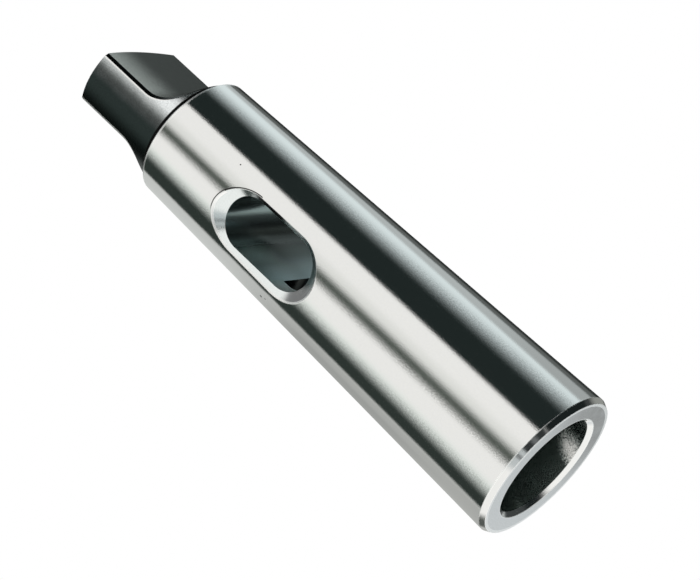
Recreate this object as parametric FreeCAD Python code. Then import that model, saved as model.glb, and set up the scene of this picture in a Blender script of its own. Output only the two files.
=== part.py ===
"""Morse taper reduction sleeve: No. 5 taper outside, No. 4 taper inside.

The sleeve is one piece of hardened steel, turned, bored and ground, so it is
one solid. It stands on its mouth ring: the origin is the centre of the mouth,
+Z runs along the axis to the tang, the drift slot goes through along Y and
the two flats of the tang face +X and -X, in line with the slot's side walls.

Every length is in millimetres.
"""
import FreeCAD
import Part
import math
import os

# Outside: the ground taper that seats in the machine's spindle
shank_gauge_diameter = 44.399
shank_taper = 1 / 19.002
gauge_to_mouth = 21.5
body_length = 140.4
mouth_chamfer_length = 1.6
mouth_chamfer_depth = 0.8
shoulder_chamfer = 0.4

# Inside: the blind tapered socket that takes the tool's shank
socket_gauge_diameter = 31.267
socket_taper = 1 / 19.254
socket_mouth_chamfer = 1.1
socket_into_slot = 9.1

# Tang: a short cylinder with two flats and a slightly domed end
tang_step = 1.7
tang_thickness = 15.9
tang_length = 30.6
tang_round_land = 1.2
tang_run_out_radius = 9.5
tang_dome_radius = 105.0
tang_root_radius = 1.0
tang_edge_chamfer = 0.75

# Drift slot: milled right through, round at both ends
slot_width = 15.4
slot_length = 31.8
slot_from_mouth = 78.2
slot_chamfer_depth = 3.7
slot_chamfer_half_angle = 46.0

ORIGIN = FreeCAD.Vector(0, 0, 0)
X = FreeCAD.Vector(1, 0, 0)
Y = FreeCAD.Vector(0, 1, 0)
Z = FreeCAD.Vector(0, 0, 1)


def shank_radius(z):
    """Radius of the outside taper at height z over the mouth."""
    return (shank_gauge_diameter + (gauge_to_mouth - z) * shank_taper) / 2


def socket_radius(z):
    """Radius of the socket's taper at height z; its gauge line is the mouth."""
    return (socket_gauge_diameter - z * socket_taper) / 2


# Sizes that follow from the ones above
tang_radius = shank_radius(body_length) - tang_step
total_length = body_length + tang_length
dome_centre_z = total_length - tang_dome_radius
tang_rim_z = dome_centre_z + math.sqrt(tang_dome_radius**2 - tang_radius**2)
flat_depth = tang_radius - tang_thickness / 2
step_at_flat = flat_depth - tang_run_out_radius
run_out_radius = tang_run_out_radius
if step_at_flat < tang_edge_chamfer / 4:
    # The bevel takes so low a step away, and the run-out then reaches the round by itself
    run_out_radius = max(tang_run_out_radius, 1.008 * flat_depth)
run_out_reach = min(flat_depth, run_out_radius)
run_out_height = math.sqrt(run_out_radius**2 - (run_out_radius - run_out_reach)**2)
flat_foot_z = body_length + tang_root_radius + tang_round_land
flat_start_z = flat_foot_z + run_out_height
slot_centre_z = slot_from_mouth + slot_length / 2
slot_chamfer_slope = math.tan(math.radians(slot_chamfer_half_angle))
socket_depth = slot_from_mouth + socket_into_slot

# From the axis, this reaches past every face of the sleeve
clear = shank_gauge_diameter

# Points nearer than this count as the same place
touch = 0.01


def point(radius, z):
    """A point of the turned profile, in the XZ plane."""
    return FreeCAD.Vector(radius, 0, z)


def line(start, end):
    return Part.LineSegment(start, end).toShape()


def arc(start, middle, end):
    return Part.Arc(start, middle, end).toShape()


def shoulder_and_tang_edges(body_edge):
    """Profile from the body's small end up over the shoulder and the tang to the axis."""
    shoulder_edge = point(body_edge.x - shoulder_chamfer, body_length)
    root_radius = min(tang_root_radius, 0.8 * (shoulder_edge.x - tang_radius))
    root_start = point(tang_radius + root_radius, body_length)
    root_centre = point(root_start.x, body_length + root_radius)
    root_middle = root_centre - FreeCAD.Vector(1, 0, 1) * (root_radius / math.sqrt(2))
    root_end = point(tang_radius, root_centre.z)
    rim = point(tang_radius, tang_rim_z)
    half_radius = tang_radius / 2
    half_height = dome_centre_z + math.sqrt(tang_dome_radius**2 - half_radius**2)
    crown = point(0, total_length)
    return [
        line(body_edge, shoulder_edge),
        line(shoulder_edge, root_start),
        arc(root_start, root_middle, root_end),
        line(root_end, rim),
        arc(rim, point(half_radius, half_height), crown),
    ]


def turned_blank():
    """The sleeve as it leaves the lathe: both tapers, the shoulder and a round tang.

    The seam line of the turned faces is brought round to lie midway between
    the slot and the tang's flats.
    """
    socket_floor = point(socket_radius(socket_depth), socket_depth)
    socket_start = point(socket_radius(socket_mouth_chamfer), socket_mouth_chamfer)
    ring_inner = point(socket_start.x + socket_mouth_chamfer, 0)
    ring_outer = point(shank_radius(mouth_chamfer_length) - mouth_chamfer_depth, 0)
    body_start = point(shank_radius(mouth_chamfer_length), mouth_chamfer_length)
    body_end_z = body_length - shoulder_chamfer
    body_end = point(shank_radius(body_end_z), body_end_z)
    edges = [
        line(point(0, socket_depth), socket_floor),
        line(socket_floor, socket_start),
        line(socket_start, ring_inner),
        line(ring_inner, ring_outer),
        line(ring_outer, body_start),
        line(body_start, body_end),
    ]
    edges += shoulder_and_tang_edges(body_end)
    edges.append(line(point(0, total_length), point(0, socket_depth)))
    blank = Part.Face(Part.Wire(edges)).revolve(ORIGIN, Z, 360)
    blank.rotate(ORIGIN, Z, 45)
    return blank


def tang_flat_cutter(side):
    """What one pass of a side cutter takes off the tang; side is +1 or -1 along X.

    The flat lies parallel to the axis. Towards the body the cutter runs out on
    its own radius, so the tang swells back to its full round.
    """
    flat_x = tang_thickness / 2
    run_out_x = flat_x + run_out_radius
    run_out_z = flat_start_z - run_out_radius
    bow = run_out_radius / math.sqrt(2)
    top_z = total_length + clear
    flat_top = FreeCAD.Vector(side * flat_x, -clear, top_z)
    flat_start = FreeCAD.Vector(side * flat_x, -clear, flat_start_z)
    run_out_middle = FreeCAD.Vector(side * (run_out_x - bow), -clear, flat_start_z - bow)
    run_out_end = FreeCAD.Vector(side * run_out_x, -clear, run_out_z)
    outer_foot = FreeCAD.Vector(side * clear, -clear, run_out_z)
    outer_top = FreeCAD.Vector(side * clear, -clear, top_z)
    edges = [
        line(flat_top, flat_start),
        arc(flat_start, run_out_middle, run_out_end),
        line(run_out_end, outer_foot),
        line(outer_foot, outer_top),
        line(outer_top, flat_top),
    ]
    return Part.Face(Part.Wire(edges)).extrude(Y * (2 * clear))


def is_flat_edge(edge):
    """True for the edges along which a tang flat, or its run-out, meets the round."""
    middle = edge.valueAt((edge.FirstParameter + edge.LastParameter) / 2)
    on_round = abs(math.hypot(middle.x, middle.y) - tang_radius) < touch
    beside_flat = abs(middle.x) > tang_thickness / 2 - touch
    return on_round and beside_flat and flat_foot_z - touch < middle.z < tang_rim_z - touch


def with_tang_edges_broken(sleeve):
    """Break the sharp long edges of the tang, which would nick the spindle's slot.

    Where the side cutter is smaller than the flats are deep it leaves a step
    at its foot, and the bevel stays narrower than that step.
    """
    step = flat_depth - run_out_reach
    bevel = min(tang_edge_chamfer, 0.8 * step) if step > 0 else tang_edge_chamfer
    edges = [edge for edge in sleeve.Edges if is_flat_edge(edge)]
    return sleeve.makeChamfer(bevel, edges)


def slot_cutter():
    """The end mill's sweep: an obround prism through the sleeve along Y."""
    radius = slot_width / 2
    half_straight = slot_length / 2 - radius
    low = FreeCAD.Vector(0, -clear, slot_centre_z - half_straight)
    high = FreeCAD.Vector(0, -clear, slot_centre_z + half_straight)
    web = Part.makeBox(slot_width, 2 * clear, 2 * half_straight, low - X * radius)
    ends = [Part.makeCylinder(radius, 2 * clear, centre, Y) for centre in (low, high)]
    return web.fuse(ends).removeSplitter()


def slot_chamfer_cutter(side):
    """The countersink's sweep round one mouth of the slot; side is +1 or -1 along Y.

    The cutter goes down to one level all along, so on the tapered round body its
    bevel comes out wide at the slot's ends and narrow beside its straight walls.
    """
    inner_radius = slot_width / 2
    half_straight = slot_length / 2 - inner_radius
    floor_y = shank_radius(slot_centre_z) - slot_chamfer_depth
    height = 2 * slot_chamfer_depth
    outer_radius = inner_radius + height * slot_chamfer_slope
    outward = Y * side
    low = FreeCAD.Vector(0, side * floor_y, slot_centre_z - half_straight)
    high = FreeCAD.Vector(0, side * floor_y, slot_centre_z + half_straight)
    cones = [
        Part.makeCone(inner_radius, outer_radius, height, centre, outward)
        for centre in (low, high)
    ]
    corners = [
        low - X * inner_radius,
        low + X * inner_radius,
        low + X * outer_radius + outward * height,
        low - X * outer_radius + outward * height,
    ]
    section = Part.Face(Part.makePolygon(corners + corners[:1]))
    trough = section.extrude(high - low)
    return trough.fuse(cones).removeSplitter()


def taper_sleeve():
    """The finished sleeve, in the order of its making."""
    sleeve = turned_blank()
    sleeve = sleeve.cut([tang_flat_cutter(side) for side in (1, -1)])
    sleeve = with_tang_edges_broken(sleeve)
    slot_tools = [slot_cutter()]
    slot_tools += [slot_chamfer_cutter(side) for side in (1, -1)]
    return sleeve.cut(slot_tools)


def main():
    os.makedirs("parts", exist_ok=True)
    sleeve = taper_sleeve()
    solid = sleeve.Solids[0]
    solid.exportStep("parts/taper_sleeve.step")
    box = solid.BoundBox
    print("solids", len(sleeve.Solids), "valid", solid.isValid(), "faces", len(solid.Faces))
    print("size", round(box.XLength, 3), round(box.YLength, 3), round(box.ZLength, 3))
    print("volume cm3", round(solid.Volume / 1000, 2))


main()
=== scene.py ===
# %% [markdown]
# # A morse taper sleeve, ground all over
#
# The sleeve is one piece of hardened steel: a long outside taper that seats in the machine's spindle, a tapered
# socket for the tool's shank, a drift slot through the body and a tang at the thin end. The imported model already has
# that whole shape. It could be built here again with finer faces, but then there would be two shapes to keep alike,
# so this scene adds no shape to it. It adds what a shop and a photographer add: the finish that each face was given,
# and a light that lets polished steel show its form.

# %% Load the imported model
import math

import bpy
import numpy as np
from mathutils import Matrix, Vector

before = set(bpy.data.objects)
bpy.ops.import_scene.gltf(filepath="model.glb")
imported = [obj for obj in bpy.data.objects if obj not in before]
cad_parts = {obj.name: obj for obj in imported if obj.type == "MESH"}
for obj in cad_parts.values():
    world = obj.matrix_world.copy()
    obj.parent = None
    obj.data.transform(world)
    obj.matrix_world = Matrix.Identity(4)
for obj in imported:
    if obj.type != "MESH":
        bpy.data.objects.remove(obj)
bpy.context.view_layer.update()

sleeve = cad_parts["taper_sleeve"]

# %% [markdown]
# ## The sleeve's own sizes
#
# The finishes change where one surface meets the next, so the material has to know where that is. It could be
# measured on the mesh, but the mesh is made of flat triangles and lies a little inside the round. The sizes below
# are the ones that the sleeve was turned and milled to, in millimetres, with the origin at the middle of the mouth
# and +Z towards the tang. Both tapers are straight lines: over their run, such as 19.002 mm, the diameter falls by
# one millimetre.

# %% Sizes of the turned surfaces
shank_gauge_diameter, gauge_to_mouth, shank_run = 44.399, 21.5, 19.002
socket_gauge_diameter, socket_run = 31.267, 19.254
shank_radius_at_mouth = (shank_gauge_diameter + gauge_to_mouth / shank_run) / 2
shank_radius_fall = 1 / shank_run / 2
socket_radius_at_mouth = socket_gauge_diameter / 2
socket_radius_fall = 1 / socket_run / 2
socket_depth = 87.3
socket_mouth_chamfer = 1.1
mouth_chamfer_length = 1.6
body_length = 140.4
print("radius at the mouth", round(shank_radius_at_mouth, 3), "at the shoulder",
      round(shank_radius_at_mouth - shank_radius_fall * body_length, 3))

# %% Sizes of the milled slot and tang
slot_middle = 94.1
slot_half_width = 7.7
slot_half_straight = 8.2
slot_chamfer_half_angle = 46.0
slot_chamfer_depth = 3.7
slot_chamfer_slope = math.tan(math.radians(slot_chamfer_half_angle))
slot_chamfer_level = shank_radius_at_mouth - shank_radius_fall * slot_middle - slot_chamfer_depth
tang_half_thickness = 7.95
tang_half_flat = 15.45
tang_radius = 17.371
run_out_radius = 9.5
run_out_top = 152.1
print("slot from", slot_middle - slot_half_straight - slot_half_width, "to",
      slot_middle + slot_half_straight + slot_half_width, "and its bevel from", round(slot_chamfer_level, 2), "out")

# %% [markdown]
# ## The camera
#
# The picture shows the sleeve lying across it from lower right to upper left, seen from a little below the mouth.
# The object keeps its own rest pose, standing on its mouth, so it is the camera that goes down below the floor's
# level and leans over. It could be turned by hand until the view looks right. Here four facts fix it instead: where
# the mouth's centre falls in the picture, how far away it is, which way the axis runs from there, and how far the
# sleeve is turned about that axis. A long lens keeps the sides almost parallel, with only a little more convergence
# than the taper itself has.

# %% How the sleeve lies in the picture
picture_width, picture_height = 700, 580
sensor_width = 36.0
focal_length_in_pixels = 2235.8
mouth_in_picture = (546.94, 468.97)
mouth_distance = 0.57277
axis_direction_in_picture = math.radians(223.22)
axis_lean_away = math.radians(23.186)
turn_about_axis = math.radians(-25.303)


def unit(vector):
    """The vector divided by its own length."""
    return vector / np.linalg.norm(vector)


# Everything here is in the camera's own directions: x to the right, y down and z into the picture.
axis = np.array([
    math.cos(axis_lean_away) * math.cos(axis_direction_in_picture),
    math.cos(axis_lean_away) * math.sin(axis_direction_in_picture),
    math.sin(axis_lean_away),
])
to_viewer = np.array([0.0, 0.0, -1.0])
facing = unit(to_viewer - axis * (to_viewer @ axis))
slot_side = math.cos(turn_about_axis) * facing + math.sin(turn_about_axis) * np.cross(axis, facing)
object_axes = np.array([np.cross(axis, slot_side), -slot_side, axis])
mouth_centre = mouth_distance * np.array([
    (mouth_in_picture[0] - picture_width / 2) / focal_length_in_pixels,
    (mouth_in_picture[1] - picture_height / 2) / focal_length_in_pixels,
    1.0,
])
print("the three directions are right-handed:", round(float(np.linalg.det(object_axes)), 6) == 1.0)

# %% Place the camera
camera_place = object_axes @ -mouth_centre
right, down, forward = object_axes[:, 0], object_axes[:, 1], object_axes[:, 2]

camera_data = bpy.data.cameras.new("camera")
camera_data.sensor_width = sensor_width
camera_data.lens = focal_length_in_pixels * sensor_width / picture_width
camera_data.clip_start, camera_data.clip_end = 0.01, 100.0
camera = bpy.data.objects.new("camera", camera_data)
bpy.context.scene.collection.objects.link(camera)
turned = Matrix((right, -down, -forward)).transposed().to_4x4()
camera.matrix_world = Matrix.Translation(Vector(camera_place)) @ turned
bpy.context.scene.camera = camera
bpy.context.scene.view_settings.view_transform = "Standard"
camera_azimuth = math.degrees(math.atan2(camera_place[1], camera_place[0]))
print("camera at", [round(float(v), 3) for v in camera_place], "lens", round(camera_data.lens, 1),
      "azimuth", round(camera_azimuth, 1))

# %% [markdown]
# ## Making nodes
#
# A material is a small network of nodes, and each node could be added with the mouse in the shader editor. Written
# as code, the same steps come again and again: add a node, set what it does, and either link each input to an
# earlier node or give it a plain value. A few helpers do that, so that the cells below read like the sums they are.


# %% Helpers for nodes
def fill_inputs(tree, node, inputs):
    """For each (input, value): links the value where it is a socket, and sets it where it is a plain value."""
    for name, value in inputs:
        if isinstance(value, bpy.types.NodeSocket):
            tree.links.new(value, node.inputs[name])
        else:
            node.inputs[name].default_value = value


def add_node(tree, kind, inputs=(), **settings):
    """Adds a node, gives it its settings and fills its inputs."""
    node = tree.nodes.new(kind)
    for name, value in settings.items():
        setattr(node, name, value)
    fill_inputs(tree, node, dict(inputs).items())
    return node


def calculate(tree, operation, *values):
    """One Math node; its numbers are sockets or plain values."""
    return add_node(tree, "ShaderNodeMath", enumerate(values), operation=operation).outputs[0]


def empty_material(name):
    """A material whose tree has only its output node, and that node."""
    material = bpy.data.materials.new(name)
    material.use_nodes = True
    material.node_tree.nodes.clear()
    return material, material.node_tree, material.node_tree.nodes.new("ShaderNodeOutputMaterial")


print("helpers for nodes are ready")

# %% [markdown]
# ## The floor
#
# The floor is a plain pale sheet that takes the sleeve's shadow. In the picture the camera looks up from below it,
# so the sheet can be seen from above only: from beneath, and for what the steel reflects, its material is clear. A
# round hole under the mouth, a hair smaller than the mouth ring, lets the light below reach the socket. From above,
# the sleeve stands over that hole and hides it. The hole could be cut out of a plane, but a ring made as a grid
# of points has it from the start.


# %% A ring as a grid of points
def ring_sheet(inner_radius, outer_radius, level, rings, around):
    """A flat ring as a grid: the radius grows by a fixed factor from ring to ring, the angle by a fixed step.

    radius = inner * (outer / inner) ** u with u from 0 to 1, and the point is radius * (cos, sin) of the angle.
    """
    u = np.linspace(0.0, 1.0, rings)[:, None]
    angle = np.linspace(0.0, 2 * np.pi, around, endpoint=False)[None, :]
    radius = inner_radius * (outer_radius / inner_radius) ** u
    return np.stack([radius * np.cos(angle), radius * np.sin(angle), np.full((rings, around), level)], axis=-1)


def grid_mesh(name, points):
    """A mesh from a grid of points that closes on itself in its second direction."""
    rows, columns = points.shape[:2]
    index = np.arange(rows * columns).reshape(rows, columns)
    following = np.roll(index, -1, axis=1)
    faces = np.stack([index[:-1], index[1:], following[1:], following[:-1]], axis=-1).reshape(-1, 4)
    mesh = bpy.data.meshes.new(name)
    mesh.from_pydata(points.reshape(-1, 3), [], faces.tolist())
    mesh.update()
    placed = bpy.data.objects.new(name, mesh)
    bpy.context.scene.collection.objects.link(placed)
    return placed


floor_radius = 12.0
floor_level = -0.00002
hole_radius = 0.0219
floor = grid_mesh("floor", ring_sheet(hole_radius, floor_radius, floor_level, rings=24, around=192))
print("floor faces", len(floor.data.polygons), "normal up", floor.data.polygons[0].normal.z > 0)

# %% Pale from above, clear from below
paper, tree, output = empty_material("pale floor")
geometry = add_node(tree, "ShaderNodeNewGeometry")
light_path = add_node(tree, "ShaderNodeLightPath")
unseen = calculate(tree, "MAXIMUM", geometry.outputs["Backfacing"], light_path.outputs["Is Glossy Ray"])
sheet = add_node(tree, "ShaderNodeBsdfDiffuse", {"Color": (0.90, 0.90, 0.90, 1.0)})
clear = add_node(tree, "ShaderNodeBsdfTransparent")
mixed = add_node(tree, "ShaderNodeMixShader", {0: unseen, 1: sheet.outputs[0], 2: clear.outputs[0]})
tree.links.new(mixed.outputs[0], output.inputs["Surface"])
floor.data.materials.append(paper)
print("nodes in the floor's material", len(tree.nodes))

# %% [markdown]
# ## The light on the steel
#
# Polished steel has hardly any colour of its own: what it shows is the room. A round bar standing upright shows
# every upright thing around it as a band along its length, so a photographer hangs a white tent round it and puts
# dark and grey strips of cloth inside. The light and dark bands on the sleeve, and their sharp and soft edges, are
# those strips. Lamps alone could not do it, because they would show as spots. A point at a distance x across the
# bar, in parts of its radius, mirrors the strip that stands 2 * arcsin(x) round from the camera, and from that the
# place of each strip is known.
#
# The tent is one sphere round the sleeve. Its cloth glows at strength 1, so it is white and no more, and only the
# steel sees it: the camera sees the white world behind, and the floor is lit by the world and a soft lamp.

# %% The strips that hang in the tent
# Each strip: its left and its right edge as (degrees round from the camera, width of the fade, lean), then the
# lowest and highest elevation with the width of that fade, and its colour. More than 0 degrees is the right of the
# sleeve as it lies in the picture. An edge that leans stands that much further round 15 degrees higher up.
cloth_colour = np.array([1.0, 0.998, 0.966])
strips = [
    ("cool peak", (50, 10, 0), (181, 1, 0), (0, 80, 12), (0.80, 0.895, 0.895)),
    ("right black", (28.5, 6, 4), (85.75, 42.5, 4), (0, 66, 8), (0.017, 0.024, 0.023)),
    ("right grey", (110, 9, 9.5), (133.2, 7, 0), (0, 66, 8), (0.50, 0.54, 0.535)),
    ("right grey, low", (110, 9, 9.5), (133.2, 7, 0), (0, 16, 6), (0.41, 0.44, 0.435)),
    ("right dim", (133.2, 7, 0), (181, 1, 0), (0, 66, 8), (0.12, 0.13, 0.125)),
    ("right edge", (149.3, 9, 0), (181, 1, 0), (0, 60, 8), (0.03, 0.035, 0.033)),
    ("soft shade", (-20, 8, 0), (0, 16, 0), (-8, 66, 12), (0.86, 0.87, 0.83)),
    ("thin line", (-30.5, 18, -1.4), (-13, 15, -1.6), (-8, 66, 12), (0.10, 0.115, 0.10)),
    ("left tint", (-112.8, 9, -3.5), (-66, 16, 3), (-2, 66, 8), (0.90, 0.955, 0.90)),
    ("left black", (-112.8, 9, -3.5), (-79, 30, 3), (-2, 66, 8), (0.033, 0.043, 0.038)),
    ("left grey", (-181, 1, 0), (-112.8, 9, -3.5), (-2, 90, 8), (0.47, 0.48, 0.46)),
    ("left grey, middle", (-181, 1, 0), (-130, 16, -3.5), (15, 25, 6), (0.385, 0.395, 0.38)),
    ("left pale", (-181, 1, 0), (-112.8, 9, -3.5), (26, 48, 6), (0.64, 0.66, 0.64)),
    ("low right grey", (115, 8, 0), (165, 10, 0), (-50, 4, 8), (0.30, 0.31, 0.29)),
    ("low right black", (38, 8, 0), (121, 5, 0), (-70, 2, 8), (0.012, 0.016, 0.016)),
    ("low right dark", (112, 8, 0), (158, 8, 0), (-60, -14, 8), (0.05, 0.055, 0.055)),
    ("low streaks", (-34, 16, 0), (36, 6, 0), (-62, -20, 10), (0.56, 0.60, 0.60)),
    ("low streak, first", (-17, 4, 0), (-11, 4, 0), (-62, -20, 10), (0.20, 0.21, 0.21)),
    ("low streak, second", (-3, 5, 0), (38, 5, 0), (-62, -20, 10), (0.035, 0.04, 0.04)),
    ("low streak, third", (13, 6, 0), (22, 6, 0), (-62, -20, 10), (0.16, 0.17, 0.17)),
    ("low left dark", (-152, 14, 0), (-117, 10, 0), (-16, 4, 8), (0.10, 0.11, 0.10)),
    ("low back, left", (-181, 1, 0), (-156, 12, 0), (-70, -4, 8), (0.70, 0.735, 0.74)),
    ("low back, right", (160, 20, 0), (181, 1, 0), (-70, -4, 8), (0.56, 0.59, 0.59)),
    ("roof", (-190, 1, 0), (190, 1, 0), (64, 100, 8), (0.40, 0.41, 0.41)),
]
print("strips in the tent", len(strips))


# %% How a strip covers the cloth
def smooth(value, start, end):
    """0 before start, 1 after end, and 3t^2 - 2t^3 between, t being the share of the way."""
    t = np.clip((value - start) / (end - start), 0.0, 1.0)
    return t * t * (3 - 2 * t)


def past_edge(round_from_camera, elevation, edge):
    """How far a direction is past an upright edge: 0 before it, 1 after it, over the width of the edge's fade.

    The edge stands at its own angle 15 degrees up, and its lean further round for every 15 degrees above that.
    """
    angle, width, lean = edge
    stands_at = angle + lean * (elevation - 15) / 15
    return smooth(round_from_camera - stands_at, -width / 2, width / 2)


def strip_cover(round_from_camera, elevation, strip):
    """How much a strip covers each direction: one smooth window round the tent times one up and down it."""
    _, left_edge, right_edge, (low, high, fade_height), _ = strip
    turn = past_edge(round_from_camera, elevation, left_edge)
    turn = turn * (1 - past_edge(round_from_camera, elevation, right_edge))
    rise = smooth(elevation, low - fade_height / 2, low + fade_height / 2)
    rise = rise * (1 - smooth(elevation, high - fade_height / 2, high + fade_height / 2))
    return turn * rise


def tent_light(round_from_camera, elevation):
    """The cloth's white, with each strip laid over it in turn: old * (1 - cover) + strip * cover."""
    light = np.broadcast_to(cloth_colour, round_from_camera.shape + (3,)).copy()
    for strip in strips:
        cover = strip_cover(round_from_camera, elevation, strip)[..., None]
        light = light * (1 - cover) + np.array(strip[-1]) * cover
    return light


straight_on = tent_light(np.array([0.0]), np.array([15.0]))[0]
print("light behind the camera, 15 degrees up", [round(float(v), 3) for v in straight_on])

# %% The tent: a sphere that glows inwards
tent_radius = 0.7
tent_middle = 0.085
around, rows = 1080, 181
# The first column stands straight behind the sleeve, where the strips on the two sides meet.
turn = -180 + 360 * (np.arange(around) + 0.5) / around
turn_grid, elevation_grid = np.meshgrid(turn, np.linspace(-89.5, 89.5, rows))
azimuth = np.radians(camera_azimuth + turn_grid)
height = np.radians(elevation_grid)
tent = grid_mesh("light_tent", np.stack([
    tent_radius * np.cos(height) * np.cos(azimuth),
    tent_radius * np.cos(height) * np.sin(azimuth),
    tent_middle + tent_radius * np.sin(height),
], axis=-1))
colours = np.ones((rows, around, 4))
colours[..., :3] = tent_light(turn_grid, elevation_grid)
attribute = tent.data.color_attributes.new("light", "FLOAT_COLOR", "POINT")
attribute.data.foreach_set("color", colours.astype(np.float32).ravel())
print("tent", len(tent.data.vertices), "points, darkest", round(float(colours.min()), 3))

# %% The tent's cloth, seen by the steel alone
cloth, tree, output = empty_material("tent cloth")
painted = add_node(tree, "ShaderNodeAttribute", attribute_name="light")
glow = add_node(tree, "ShaderNodeEmission", {"Color": painted.outputs["Color"], "Strength": 1.0})
tree.links.new(glow.outputs[0], output.inputs["Surface"])
cloth.cycles.emission_sampling = "NONE"
tent.data.materials.append(cloth)
tent.visible_camera = tent.visible_diffuse = tent.visible_shadow = tent.visible_transmission = False
print("the tent is seen by the camera:", tent.visible_camera, "and by the steel:", tent.visible_glossy)

# %% [markdown]
# ## The room and one soft lamp
#
# The picture has a plain white background and hardly a shadow. The world gives both: it is white to the camera and
# in reflections, and a little darker as a light, so that the pale floor keeps its own tone. A world alone leaves an
# object floating, so one wide lamp from the upper right lays a soft shadow beside it. More lamps or stronger ones
# would only wash the floor out, because the steel takes its look from the tent.

# %% The world
world = bpy.data.worlds.new("studio")
bpy.context.scene.world = world
world.use_nodes = True
tree = world.node_tree
tree.nodes.clear()
light_path = add_node(tree, "ShaderNodeLightPath")
seen = calculate(tree, "MAXIMUM", light_path.outputs["Is Camera Ray"], light_path.outputs["Is Glossy Ray"])
seen = calculate(tree, "MAXIMUM", seen, light_path.outputs["Is Transmission Ray"])
as_a_light, as_a_background = 0.72, 1.0
room = add_node(tree, "ShaderNodeBackground", {"Color": (1.0, 1.0, 1.0, 1.0), "Strength": as_a_light})
white = add_node(tree, "ShaderNodeBackground", {"Color": (1.0, 1.0, 1.0, 1.0), "Strength": as_a_background})
either = add_node(tree, "ShaderNodeMixShader", {0: seen, 1: room.outputs[0], 2: white.outputs[0]})
add_node(tree, "ShaderNodeOutputWorld", {"Surface": either.outputs[0]})
print("world nodes", len(tree.nodes))

# %% The lamp
lamp_data = bpy.data.lights.new("soft lamp", "AREA")
lamp_data.shape = "DISK"
lamp_data.size = 0.5
lamp_data.energy = 5.0
lamp = bpy.data.objects.new("soft lamp", lamp_data)
lamp.location = (0.5, -0.35, 0.9)
lamp_aim = Vector((0, 0, 0.05))
lamp.rotation_euler = (lamp_aim - lamp.location).to_track_quat("-Z", "Y").to_euler()
lamp.visible_glossy = False
bpy.context.scene.collection.objects.link(lamp)
print("lamp", lamp_data.energy, "W at", round((lamp_aim - lamp.location).length, 2), "m")

# %% [markdown]
# ## Fine marks
#
# No machined face is quite smooth. Turning and grinding leave fine lines that run round it, and a matt face has a
# grain. They could be painted on an image, but an image needs the faces laid out flat, and the lines would break at
# its seams. A noise that is worked out from a point's place in space has no seams. It becomes lines when it changes
# fast along the axis and slowly across it. Every finish below uses it with its own numbers, so it is a node group.

# %% The group for fine marks
marks = bpy.data.node_groups.new("tool marks", "ShaderNodeTree")
for name, kind in (("Place", "NodeSocketVector"), ("Across", "NodeSocketFloat"), ("Along", "NodeSocketFloat"),
                   ("Detail", "NodeSocketFloat")):
    marks.interface.new_socket(name, in_out="INPUT", socket_type=kind)
marks.interface.new_socket("Height", in_out="OUTPUT", socket_type="NodeSocketFloat")
given = add_node(marks, "NodeGroupInput")
parts = add_node(marks, "ShaderNodeSeparateXYZ", {"Vector": given.outputs["Place"]})
stretched = add_node(marks, "ShaderNodeCombineXYZ", {
    "X": calculate(marks, "MULTIPLY", parts.outputs["X"], given.outputs["Along"]),
    "Y": calculate(marks, "MULTIPLY", parts.outputs["Y"], given.outputs["Along"]),
    "Z": calculate(marks, "MULTIPLY", parts.outputs["Z"], given.outputs["Across"]),
})
fine = add_node(marks, "ShaderNodeTexNoise", {"Vector": stretched.outputs[0], "Scale": 1.0,
                                              "Detail": given.outputs["Detail"], "Roughness": 0.6})
add_node(marks, "NodeGroupOutput", {"Height": fine.outputs["Fac"]})


def place_marks(tree, place, **values):
    """One copy of the group in a material, with its own values."""
    group = add_node(tree, "ShaderNodeGroup", node_tree=marks)
    fill_inputs(tree, group, [("Place", place), *values.items()])
    return group.outputs["Height"]


print("the group takes", [socket.name for socket in marks.interface.items_tree])

# %% [markdown]
# ## Which surface a point is on
#
# One bar of steel, several finishes. The outside taper and the socket are ground between centres, so they are the
# brightest. The mouth face is ground flat and stays a little matt. The chamfers are turned and bright. The slot is
# milled and left dark inside. The tang is milled before hardening and never ground, so it keeps a dark satin skin.
#
# The faces could be told apart by painting them, but the mesh comes from CAD and stays as it is. Instead the
# material works out from a point's own place which surface it is on. Each answer is a mask: 1 on that surface and 0
# everywhere else. First it needs the sums that a mask is made of.

# %% Sums in the steel's material
steel, tree, output = empty_material("ground steel, zoned")


def plus(*values):
    """All the values added up, with one Math node for each sign."""
    total = values[0]
    for value in values[1:]:
        total = calculate(tree, "ADD", total, value)
    return total


def minus(first, second):
    """The first value less the second."""
    return calculate(tree, "SUBTRACT", first, second)


def times(*values):
    """All the values multiplied, with one Math node for each sign; of masks, it is where all of them are."""
    product = values[0]
    for value in values[1:]:
        product = calculate(tree, "MULTIPLY", product, value)
    return product


def above(value, limit):
    """1 where the value is more than the limit and 0 elsewhere."""
    return calculate(tree, "GREATER_THAN", value, limit)


def below(value, limit):
    """1 where the value is less than the limit and 0 elsewhere."""
    return calculate(tree, "LESS_THAN", value, limit)


def fade(value, start, end):
    """0 where the value is at start, 1 where it is at end, and a smooth change between them."""
    inputs = {"Value": value, "From Min": start, "From Max": end, "To Min": 0.0, "To Max": 1.0}
    return add_node(tree, "ShaderNodeMapRange", inputs, interpolation_type="SMOOTHSTEP").outputs["Result"]


print("the steel starts with", len(tree.nodes), "node")

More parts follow.
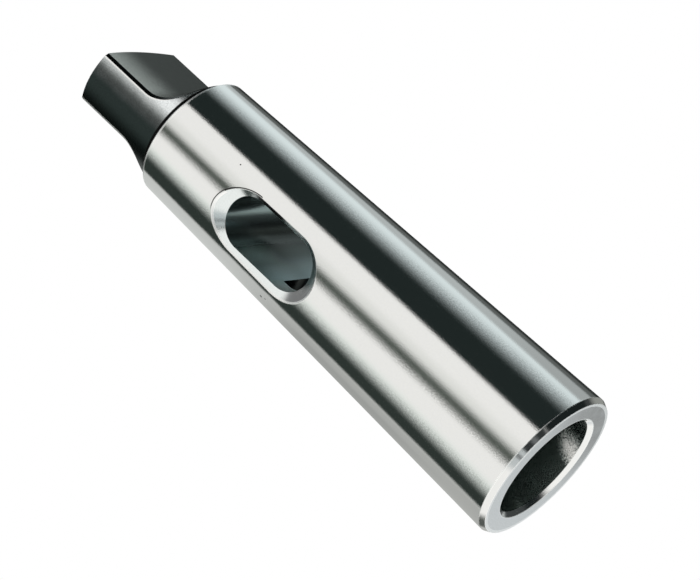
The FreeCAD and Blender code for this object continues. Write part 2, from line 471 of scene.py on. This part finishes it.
# %% A point's own place, in millimetres
place = add_node(tree, "ShaderNodeTexCoord").outputs["Object"]
in_mm = add_node(tree, "ShaderNodeVectorMath", {0: place, 1: (1000.0, 1000.0, 1000.0)},
                 operation="MULTIPLY").outputs[0]
x, y, z = add_node(tree, "ShaderNodeSeparateXYZ", {"Vector": in_mm}).outputs
across = calculate(tree, "ABSOLUTE", x)
outward = calculate(tree, "ABSOLUTE", y)
radius = calculate(tree, "SQRT", plus(times(x, x), times(y, y)))
under_shank = minus(minus(shank_radius_at_mouth, times(z, shank_radius_fall)), radius)
beyond_socket = minus(radius, minus(socket_radius_at_mouth, times(z, socket_radius_fall)))
# The slot's outline is every point at half its width from a straight line along its middle.
past_straight = calculate(tree, "MAXIMUM", minus(calculate(
    tree, "ABSOLUTE", minus(z, slot_middle)), slot_half_straight), 0.0)
from_slot_line = minus(calculate(tree, "SQRT", plus(times(x, x), times(past_straight, past_straight))),
                       slot_half_width)
from_slot_bevel = minus(from_slot_line, times(minus(outward, slot_chamfer_level), slot_chamfer_slope))
# The angle goes round the axis from -X, and -90 degrees is at -Y.
angle = calculate(tree, "ARCTAN2", y, times(x, -1.0))
print("a point's place is known, nodes now", len(tree.nodes))

# %% The way the mesh faces, in the sleeve's own directions
mesh_direction = add_node(tree, "ShaderNodeNewGeometry").outputs["Normal"]
own_direction = add_node(tree, "ShaderNodeVectorTransform", {0: mesh_direction}, vector_type="VECTOR",
                         convert_from="WORLD", convert_to="OBJECT").outputs[0]
faces_x, faces_y, faces_z = add_node(tree, "ShaderNodeSeparateXYZ", {"Vector": own_direction}).outputs
faces_away = calculate(tree, "DIVIDE", plus(times(faces_x, x), times(faces_y, y)), radius)
print("its face's direction is known, nodes now", len(tree.nodes))

# %% The masks of the body, its mouth and its slot
# The mesh cuts the corners of what is round, so a limit allows a little: near on flat faces, and more on round ones.
near, near_slot, near_bevel, near_socket, near_shank = 0.02, 0.04, 0.06, 0.08, 0.8
ring_inner_part, ring_outer_part = 17.0, 20.0
slot_lowest, slot_highest = 60.0, 120.0
shoulder_chamfer = 0.4
is_face = below(z, near)
is_mouth_chamfer = times(below(z, mouth_chamfer_length - near), above(radius, ring_outer_part), above(z, near))
is_bore_chamfer = times(below(z, socket_mouth_chamfer), below(radius, ring_inner_part), above(z, near))
is_socket = times(below(beyond_socket, near_socket), below(z, socket_depth + near), above(z, socket_mouth_chamfer))
is_slot_wall = times(below(from_slot_line, near_slot), above(z, slot_lowest), below(z, slot_highest))
is_slot_chamfer = times(above(from_slot_line, near_slot), below(from_slot_bevel, near_bevel),
                        above(outward, slot_chamfer_level - near))
is_body = times(below(under_shank, near_shank), above(from_slot_bevel, near_bevel),
                above(z, mouth_chamfer_length - near), below(z, body_length - shoulder_chamfer + near))
print("seven masks made, nodes now", len(tree.nodes))

# %% The masks of the tang
# A face that looks straight out from the axis has 1 here, and one that looks along a flat has hardly more than 0.
round_faces_away, bevel_faces_away, dome_faces_up = 0.975, 0.6, 0.9
bevel_width = 0.8
dome_lowest = 165.0
root_top, root_fade = 1.8, 0.3
on_tang = above(z, body_length - near)
on_round = times(on_tang, above(faces_away, round_faces_away), above(radius, tang_radius - bevel_width / 2))
is_bevel = times(on_tang, above(faces_away, bevel_faces_away), below(faces_away, round_faces_away),
                 above(radius, tang_radius - bevel_width))
is_dome = times(above(z, dome_lowest), above(faces_z, dome_faces_up))
is_flat = times(on_tang, minus(1.0, plus(on_round, is_bevel, is_dome)))
# Just above the shoulder the tang is painted near black: painted shade at its root.
root_painted_shade = times(on_tang, minus(1.0, fade(z, body_length + root_top - root_fade, body_length + root_top)))
print("six more masks made, nodes now", len(tree.nodes))

# %% [markdown]
# ## The tang's dark skin
#
# The tang keeps the dark skin of its hardening. It drives on opposite halves of its two flats, and each time it is
# drifted out it slides there, so those halves are rubbed to bare steel. The round beside them is painted bright
# there too, partly bare steel and partly a painted sheen. Wear could be painted by hand, but it follows a rule: it
# grows with the distance from the axis towards the driving edge. The product x * y has that form, and a slow noise
# keeps its border from looking ruled.


# %% Helpers for blending
def blend(data_type, first_input, output_index, factor, first, second):
    """One Mix node for colours or for numbers; its two values sit at inputs that depend on the type."""
    node = add_node(tree, "ShaderNodeMix", data_type=data_type)
    fill_inputs(tree, node, ((0, factor), (first_input, first), (first_input + 1, second)))
    return node.outputs[output_index]


def blend_colour(factor, first, second):
    """The first colour where the factor is 0 and the second where it is 1."""
    return blend("RGBA", 6, 2, factor, first, second)


def blend_value(factor, first, second):
    """The first number where the factor is 0 and the second where it is 1."""
    return blend("FLOAT", 2, 0, factor, first, second)


def grey(level, warmth=0.0):
    """A colour near grey; a little warmth adds red and takes away blue, and less than none does the opposite."""
    return (level * (1 + warmth), level, level * (1 - warmth), 1.0)


def vector_sum(operation, *values, **named):
    """One Vector Math node, for colours and directions."""
    inputs = dict(enumerate(values)) | named
    return add_node(tree, "ShaderNodeVectorMath", inputs, operation=operation).outputs[0]


print("bright steel", grey(0.84, -0.03))

# %% Rubbed places on the tang, and painted sheen on its round
border_wander = 0.16
rub_falls_off = 2.3
mottle = place_marks(tree, in_mm, Across=0.22, Along=0.22, Detail=4.0)
driven = calculate(tree, "DIVIDE", times(x, y), -tang_half_thickness * tang_half_flat)
driven = plus(driven, times(minus(mottle, 0.5), border_wander))
# The round's bright colour by the driving edge is partly wear and partly painted sheen.
round_wear_and_sheen = add_node(tree, "ShaderNodeMapRange", {"Value": driven, "From Min": 0.08, "From Max": 1.0})
round_wear_and_sheen = calculate(tree, "POWER", calculate(tree, "MAXIMUM", round_wear_and_sheen.outputs["Result"], 0.0), rub_falls_off)
rub_flat = fade(driven, 0.02, 1.02)
round_colour = blend_colour(round_wear_and_sheen, (0.024, 0.033, 0.032, 1.0), grey(0.84, -0.03))
flat_colour = blend_colour(rub_flat, (0.038, 0.043, 0.039, 1.0), (0.44, 0.45, 0.43, 1.0))
print("the tang is rubbed, nodes now", len(tree.nodes))

# %% [markdown]
# ## The slot, dark inside with a bright bevel
#
# The slot was milled before hardening too. Its wall keeps the blue grey of that heat towards the mouth and is
# darkest near the tang. Towards the -Y side and at its very end the wall is painted lighter, a painted reflection
# of the light from the slot's far opening. The bevel was cut last and is bright. The tool that cut it let go at the
# mouth end and left it duller there, and along the straight part of its +X side the bevel is near black. All of this
# depends on the place alone, so a few smooth fades along Z and Y say it.

# %% The wall of the slot
tint = fade(z, 101.0, 80.0)
slot_colour = blend_colour(tint, (0.105, 0.130, 0.127, 1.0), (0.25, 0.32, 0.34, 1.0))
towards_near_side = fade(y, 1.0, -12.0)
middle_of_wall = times(fade(z, 106.0, 103.0), fade(z, 94.0, 99.0))
# Each: its name, how much lighter the wall is there, and where that is. They multiply.
lighter_places = [
    ("towards the mouth", 0.7, fade(z, 98.0, 92.0)),
    # The next two rows are painted reflection: light from the slot's far opening, as streaks on the wall.
    ("painted reflection, near side", 1.0, times(towards_near_side, plus(fade(z, 106.0, 103.5), times(middle_of_wall, 3.0)))),
    ("very end", 2.4, fade(z, 107.9, 109.3)),
    ("far side", -0.4, times(fade(y, -2.0, 4.0), fade(z, 99.0, 102.0), fade(z, 107.0, 105.0))),
]
lift = times(*[plus(1.0, times(where, how_much)) for name, how_much, where in lighter_places])
lightest = (0.9, 0.9, 0.9)
slot_colour = vector_sum("MINIMUM", vector_sum("SCALE", slot_colour, Scale=lift), lightest)
slot_roughness = blend_value(fade(z, 104.0, 99.0), 0.22, 0.42)
print("lighter or darker places on the slot's wall", [name for name, _, _ in lighter_places])

# %% The bevel of the slot
# Along the straight part of its +X side the bevel is coloured near black.
bevel_dark_side = times(fade(x, 6.3, 7.2), fade(z, 90.5, 95.0), fade(z, 106.5, 103.0))
# How far a point lies towards the place where the tool let go, as a share of its distance from the slot's middle.
let_go_x, let_go_z = -0.438, 0.899
towards_let_go = calculate(tree, "DIVIDE", plus(times(x, let_go_x), times(past_straight, let_go_z)),
                           plus(from_slot_line, slot_half_width))
let_go = times(below(z, slot_middle), fade(towards_let_go, 0.74, 1.0))
bevel_colour = blend_colour(bevel_dark_side, (0.80, 0.835, 0.84, 1.0), grey(0.02))
bevel_colour = blend_colour(let_go, bevel_colour, grey(0.42))
print("the slot's bevel is coloured, nodes now", len(tree.nodes))

# %% [markdown]
# ## The socket and the mouth
#
# The socket is ground too, but little light gets down it, so it darkens with depth. Tools that go in at a slant have
# rubbed it on one side, close to its mouth, with a ragged edge, and that side is painted bright: partly that wear and
# partly painted light from the mouth. One side of the mouth ring is painted darker, as painted shade. The wheel has
# left the taper itself a little cloudy in a few lanes. A mask with a noise added to its edge gives a ragged border,
# and an angle round the axis places each of them.

# %% The socket's rubbed side, painted bright
# Both are angles round the axis: where the rubbed side starts at the mouth, and how far it turns in a millimetre.
rub_start, rub_turn = math.radians(81.0), math.radians(1.6)
past_rub_edge = minus(angle, plus(rub_start, times(z, rub_turn)))
rub_noise = minus(place_marks(tree, in_mm, Across=1.6, Along=1.6, Detail=6.0), 0.5)
socket_rub_and_light = times(fade(plus(past_rub_edge, times(rub_noise, 0.45)), -0.14, 0.16),
                   fade(plus(past_rub_edge, times(rub_noise, 0.6)), 0.62, 0.10))
socket_rub_and_light = times(is_socket, socket_rub_and_light, fade(plus(z, times(rub_noise, 10.0)), 10.5, 4.0))
socket_colour = blend_colour(fade(z, 20.0, 75.0), (0.46, 0.52, 0.50, 1.0), (0.05, 0.06, 0.06, 1.0))
# The bright patch is partly wear and partly painted light from the mouth.
socket_colour = blend_colour(socket_rub_and_light, socket_colour, grey(0.88, 0.02))
socket_roughness = blend_value(socket_rub_and_light, 0.24, 0.36)
print("the socket is coloured, nodes now", len(tree.nodes))

# %% The painted shade on one side of the mouth ring, and the cloudy lanes of the taper
# One side of the mouth ring is painted darker: painted shade.
shade_darkest_at = math.radians(145.0)
painted_shade_side = fade(calculate(tree, "COSINE", minus(angle, shade_darkest_at)), 0.0, 1.0)
face_colour = blend_colour(times(painted_shade_side, plus(0.35, mottle)), grey(0.74, -0.012), grey(0.38, 0.01))
lanes = 0.0
for lane_degrees, half_width_degrees in ((-154.0, 12.0), (-101.5, 5.0), (-74.0, 8.0)):
    from_lane = calculate(tree, "ABSOLUTE", minus(angle, math.radians(lane_degrees)))
    lanes = plus(lanes, fade(from_lane, math.radians(half_width_degrees), math.radians(0.5 * half_width_degrees)))
    print("a cloudy lane", 2 * half_width_degrees, "degrees wide")

# %% [markdown]
# ## Arrises and pits
#
# Where two faces meet, the edge, or arris, is broken by hand with a stone. It could be a bevel in the mesh, but at a
# few tenths of a millimetre it is only a line in the picture. So each arris is a narrow band round the place where its
# two faces meet, coloured near white: bare steel with a painted highlight on it. Beside the end of the slot's bevel a
# thin dark line is painted shade. A few small pits show in the ground steel, and each is a dark spot round a point.


# %% Bright lines on the arrises, a painted highlight
def line_at(value, place, half_width):
    """1 on a line of that half width round a place, falling to 0 at its sides."""
    return minus(1.0, fade(calculate(tree, "ABSOLUTE", minus(value, place)), 0.4 * half_width, half_width))


# The flats end in a line that the run-out of the cutter bends outwards towards the body.
below_flat = calculate(tree, "MINIMUM", calculate(tree, "MAXIMUM", minus(run_out_top, z), 0.0), run_out_radius)
run_out = minus(run_out_radius, calculate(tree, "SQRT", minus(run_out_radius**2, times(below_flat, below_flat))))
from_flat_edge = minus(plus(tang_half_thickness, run_out), across)
ring_inner_radius = socket_radius_at_mouth + socket_mouth_chamfer
arrises = [
    ("mouth chamfer and taper", line_at(z, mouth_chamfer_length, 0.22), above(radius, ring_outer_part)),
    ("taper and shoulder", line_at(z, body_length - 0.5, 0.52), above(radius, tang_radius + 0.5)),
    ("slot's bevel and taper", line_at(from_slot_bevel, 0.1, 0.3),
     times(below(under_shank, 0.5), below(past_straight, 12.0), below(x, 4.0))),
    ("mouth ring and its chamfer", line_at(z, 0.0, 0.16), above(radius, 21.0)),
    ("mouth ring and socket", line_at(radius, ring_inner_radius, 0.26), below(z, 0.25)),
    ("tang's round and flat", line_at(from_flat_edge, 0.86, 0.30), times(on_round, above(z, body_length + 2.4))),
]
# The bright lines on the arrises are bare steel with a painted highlight.
arris = calculate(tree, "MINIMUM", plus(*[times(line, where) for name, line, where in arrises]), 1.0)
# A thin dark line beside the end of the slot's bevel is painted shade.
arris_painted_shade = times(line_at(from_slot_bevel, 0.42, 0.30), above(z, slot_middle + slot_half_straight),
                    fade(x, -3.5, -1.5), below(under_shank, near_shank))
print("arrises between", [name for name, _, _ in arrises])

# %% Small pits, each as its middle and its radius
pits = 0.0
for pit_middle, pit_radius in (((-13.51, -15.34, 88.41), 0.55), ((-12.93, -15.89, 86.62), 0.34),
                               ((11.28, -16.23, 114.15), 0.30)):
    from_pit = add_node(tree, "ShaderNodeVectorMath", {0: in_mm, 1: pit_middle}, operation="DISTANCE")
    pits = plus(pits, fade(from_pit.outputs["Value"], pit_radius, 0.4 * pit_radius))
    print("a pit of radius", pit_radius, "at", pit_middle)

# %% [markdown]
# ## A true direction for the turned faces
#
# The mesh is flat triangles, and where the body meets the slot they are long and thin. On polished steel such a
# triangle shows as a tooth in the reflection. Smooth shading would only average the triangles. For the turned faces
# the true direction of the surface is known: it points away from the axis, tipped by the slope of the taper. The
# material uses that, and takes the mesh's own direction elsewhere. The Bevel node rounds the arrises by a fifth of a
# millimetre, so that they catch the light.

# %% The direction in which each turned face points
# Each: its name, its mask, the part of its direction away from the axis and the part along it.
turned_faces = [
    ("body", is_body, 1.0, shank_radius_fall),
    ("mouth chamfer", is_mouth_chamfer, 1.0, -0.5),
    ("socket", is_socket, -1.0, -socket_radius_fall),
    ("bore chamfer", is_bore_chamfer, -1.0, -1.0),
    ("tang", on_round, 1.0, 0.0),
]
away, along, is_turned = 0.0, 0.0, 0.0
for name, mask, part_away, part_along in turned_faces:
    length = math.hypot(part_away, part_along)
    away = plus(away, times(mask, part_away / length))
    along = plus(along, times(mask, part_along / length))
    is_turned = plus(is_turned, mask)
    print(name, "leans", round(math.degrees(math.atan2(part_along, abs(part_away))), 2), "degrees along the axis")

# %% The corrected direction
true_direction = add_node(tree, "ShaderNodeCombineXYZ", {
    "X": times(away, calculate(tree, "DIVIDE", x, radius)),
    "Y": times(away, calculate(tree, "DIVIDE", y, radius)),
    "Z": along,
}).outputs[0]
true_direction = add_node(tree, "ShaderNodeVectorTransform", {0: true_direction}, vector_type="VECTOR",
                          convert_from="OBJECT", convert_to="WORLD").outputs[0]
correction = vector_sum("SCALE", vector_sum("SUBTRACT", true_direction, mesh_direction), Scale=is_turned)
# The slot's bevel is finished by hand, so its face is tipped a little outwards. The rubbed steel in the socket is
# tipped a little towards the mouth.
bevel_tip, rub_tip = 0.25, -0.20
tip = add_node(tree, "ShaderNodeCombineXYZ", {
    "Y": times(is_slot_chamfer, calculate(tree, "SIGN", y), bevel_tip), "Z": times(socket_rub_and_light, rub_tip)}).outputs[0]
arris_radius = 0.0002
rounded = add_node(tree, "ShaderNodeBevel", {"Radius": arris_radius}, samples=6).outputs[0]
direction = vector_sum("NORMALIZE", vector_sum("ADD", vector_sum("ADD", rounded, correction), tip))
print("the direction is corrected, nodes now", len(tree.nodes))

# %% [markdown]
# ## One steel for every face
#
# The finishes could be a row of materials, one on each face, but the sleeve is a single mesh with one slot. So one
# material starts with the ground taper and lays each finish over it with its mask, the way that a painter masks and
# sprays. Each finish is a colour, a roughness, and how strong its grain is, in the light and in the colour.

# %% The table of finishes
# Each: its name, its mask, then colour, roughness, grain in the light and speckle in the colour. A later row covers
# an earlier one.
finishes = [
    ("mouth face", is_face, face_colour, 0.28, 0.9, 0.16),
    ("mouth chamfer", is_mouth_chamfer, grey(0.84), 0.08, 0.3, 0.02),
    ("bore chamfer", is_bore_chamfer, grey(0.88), 0.13, 0.3, 0.03),
    ("socket", is_socket, socket_colour, socket_roughness, plus(0.2, times(socket_rub_and_light, 4.3)), 0.05),
    ("slot wall", is_slot_wall, slot_colour, slot_roughness, 0.7, 0.20),
    ("slot chamfer", is_slot_chamfer, bevel_colour, 0.16, 0.5, 0.05),
    ("tang", on_tang, grey(0.05, -0.02), 0.34, 0.8, 0.20),
    ("tang round", on_round, round_colour, 0.26, 0.8, 0.22),
    ("tang flat", is_flat, flat_colour, 0.34, 0.9, 0.30),
    ("tang bevel", is_bevel, grey(0.06), 0.20, 0.5, 0.10),
    ("dome", is_dome, grey(0.24), 0.34, 0.8, 0.20),
    # The tang root row is painted shade.
    ("tang root", root_painted_shade, grey(0.008), 0.50, 0.3, 0.0),
    # The arris shade row is painted shade.
    ("arris shade", arris_painted_shade, grey(0.02), 0.40, 0.3, 0.0),
    # The arris row is a painted highlight on bare edges.
    ("arris", arris, grey(0.98), 0.36, 0.3, 0.0),
    ("pits", pits, grey(0.04), 0.50, 0.3, 0.0),
]
# The ground taper, which is what the others are laid over
colour, roughness, grain, speckle = grey(0.80), 0.07, 0.45, plus(0.02, times(lanes, 0.24))
for name, mask, own_colour, own_roughness, own_grain, own_speckle in finishes:
    colour = blend_colour(mask, colour, own_colour)
    roughness = blend_value(mask, roughness, own_roughness)
    grain = blend_value(mask, grain, own_grain)
    speckle = blend_value(mask, speckle, own_speckle)
print("finishes laid over the ground taper", len(finishes))

# %% Grain, speckle and the shader
fleck = minus(place_marks(tree, in_mm, Across=2.6, Along=2.6, Detail=3.0), 0.5)
colour = vector_sum("SCALE", colour, Scale=plus(1.0, times(fleck, 4.0, speckle)))
stipple = place_marks(tree, in_mm, Across=3.0, Along=3.0, Detail=1.0)
ground_lines = place_marks(tree, in_mm, Across=9.0, Along=0.25, Detail=2.0)
line_depth = minus(0.25, times(is_socket, 0.20))
mark_height = plus(times(stipple, grain), times(ground_lines, line_depth))
deepest_mark = 0.00002
bump = add_node(tree, "ShaderNodeBump", {"Strength": 1.0, "Distance": deepest_mark, "Height": mark_height,
                                         "Normal": direction})
shader = add_node(tree, "ShaderNodeBsdfPrincipled", {"Base Color": colour, "Metallic": 1.0, "Roughness": roughness,
                                                     "Normal": bump.outputs[0]})
tree.links.new(shader.outputs[0], output.inputs["Surface"])
for material_slot in sleeve.material_slots:
    material_slot.material = steel
print("material slots", len(sleeve.material_slots), "nodes", len(tree.nodes))
